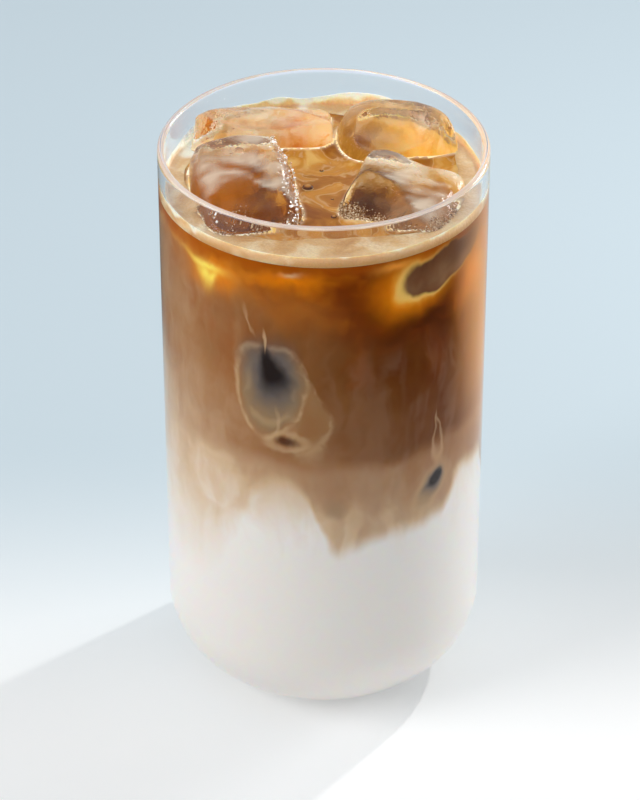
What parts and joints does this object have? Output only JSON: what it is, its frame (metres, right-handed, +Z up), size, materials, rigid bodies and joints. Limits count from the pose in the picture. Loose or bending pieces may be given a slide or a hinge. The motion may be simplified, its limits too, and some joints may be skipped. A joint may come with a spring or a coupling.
{
  "type": "iced latte",
  "caption": "Tall straight clear tumbler of iced latte: white milk at the rounded foot rising in plumes into brown coffee, a ring of tan foam, melted ice blocks above the surface.",
  "frame": {"origin": "centre of the glass's foot, on the table", "axes": "+Z up along the glass's axis, -Y towards the drinker, +X to the drinker's right"},
  "size_m": [0.075, 0.075, 0.139],
  "materials": {
    "clear_glass": "clear, fire-polished",
    "milk": "opaque white liquid",
    "coffee": "cloudy brown liquid with milk swirls",
    "foam": "fine bubbly foam",
    "ice": "clear, wet and half melted"
  },
  "bodies": {
    "root": {"glass": "clear_glass", "milk": "milk", "coffee": "coffee", "foam": "foam", "ice_front_left": "ice", "ice_back_left": "ice", "ice_back_right": "ice", "ice_front_right": "ice"}
  },
  "joints": []
}
